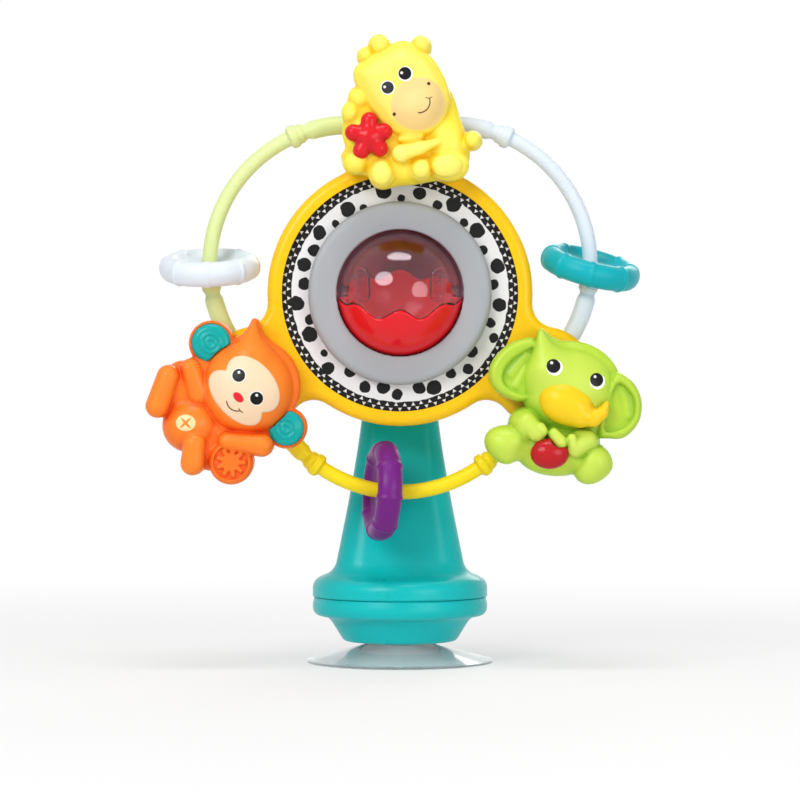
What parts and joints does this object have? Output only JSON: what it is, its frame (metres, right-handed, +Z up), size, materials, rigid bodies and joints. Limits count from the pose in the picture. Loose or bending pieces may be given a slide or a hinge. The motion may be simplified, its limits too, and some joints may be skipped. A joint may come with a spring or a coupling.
{
  "type": "ferris wheel suction toy",
  "caption": "Table-top toy wheel on a suction-cup stand, with animal figures, a spinning rattle ball and rings that slide on curved tubes.",
  "frame": {"origin": "centre of the suction cup's contact rim, on the table", "axes": "+Z up, front of the wheel towards -Y, +X to the viewer's right; the axle lies along Y"},
  "size_m": [0.2457, 0.133, 0.3165],
  "materials": {
    "clear_vinyl": "soft clear vinyl, smooth",
    "white_inner_plastic": "plain moulded",
    "teal_plastic": "smooth moulded",
    "screw_steel": "zinc plated",
    "wheel_yellow": "smooth moulded",
    "printed_white": "satin sheet, printed in black",
    "bezel_grey": "satin moulded",
    "clear_shell": "clear moulded",
    "red_shell": "smooth moulded",
    "bead_mix": "smooth, several colours",
    "tube_lime": "smooth extruded",
    "tube_pale": "smooth extruded",
    "tube_bright": "smooth extruded",
    "ring_pale": "soft satin",
    "ring_blue_green": "soft satin",
    "ring_violet": "soft satin",
    "lemon_plastic": "smooth moulded, painted face",
    "orange_plastic": "smooth moulded",
    "cream_plastic": "satin, painted face",
    "ear_teal": "smooth moulded",
    "lime_plastic": "smooth moulded, painted eyes",
    "trunk_yellow": "smooth moulded"
  },
  "bodies": {
    "stand": {"suction_cup": "clear_vinyl", "cup_clamp": "white_inner_plastic", "base_bowl": "teal_plastic", "tower_front": "teal_plastic", "tower_back": "teal_plastic", "tower_screws": "screw_steel", "axle_bush": "white_inner_plastic", "axle_cap": "teal_plastic"},
    "wheel": {"axle": "white_inner_plastic", "axle_washer": "screw_steel", "axle_screw": "screw_steel", "wheel_screws": "screw_steel", "bezel_screws": "screw_steel", "ball_pins": "screw_steel", "wheel_back": "wheel_yellow", "wheel_front": "wheel_yellow", "pattern_disc": "printed_white", "ball_bezel": "bezel_grey", "giraffe_flower": "red_shell", "elephant_apple": "red_shell", "tube_green": "tube_lime", "tube_white": "tube_pale", "tube_yellow": "tube_bright", "giraffe_front": "lemon_plastic", "giraffe_back": "lemon_plastic", "monkey_front": "orange_plastic", "monkey_back": "orange_plastic", "monkey_face": "cream_plastic", "monkey_ears": "ear_teal", "elephant_front": "lime_plastic", "elephant_back": "lime_plastic", "elephant_trunk": "trunk_yellow"},
    "ball": {"ball_clear_shell": "clear_shell", "ball_red_shell": "red_shell"},
    "beads": {"rattle_beads": "bead_mix"},
    "white_ring": {"ring_white": "ring_pale"},
    "teal_ring": {"ring_teal": "ring_blue_green"},
    "purple_ring": {"ring_purple": "ring_violet"}
  },
  "joints": [
    {"name": "wheel_spin", "type": "hinge", "parent": "stand", "child": "wheel", "pos_m": [0, -0.02, 0.188], "axis": [0, 1, 0], "continuous": true},
    {"name": "ball_spin", "type": "hinge", "parent": "wheel", "child": "ball", "pos_m": [0, -0.051, 0.188], "axis": [1, 0, 0], "continuous": true},
    {"name": "bead_roll", "type": "hinge", "parent": "wheel", "child": "beads", "pos_m": [0, -0.051, 0.188], "axis": [1, 0, 0], "range_deg": [-60, 60]},
    {"name": "white_ring_slide", "type": "hinge", "parent": "wheel", "child": "white_ring", "pos_m": [-0.02511, -0.047, 0.2025], "axis": [0, 1, 0], "range_deg": [0, 62]},
    {"name": "teal_ring_slide", "type": "hinge", "parent": "wheel", "child": "teal_ring", "pos_m": [0.02511, -0.047, 0.2025], "axis": [0, 1, 0], "range_deg": [-62, 0]},
    {"name": "purple_ring_slide", "type": "hinge", "parent": "wheel", "child": "purple_ring", "pos_m": [0, -0.047, 0.159], "axis": [0, 1, 0], "range_deg": [-38.3, 23.7]}
  ]
}
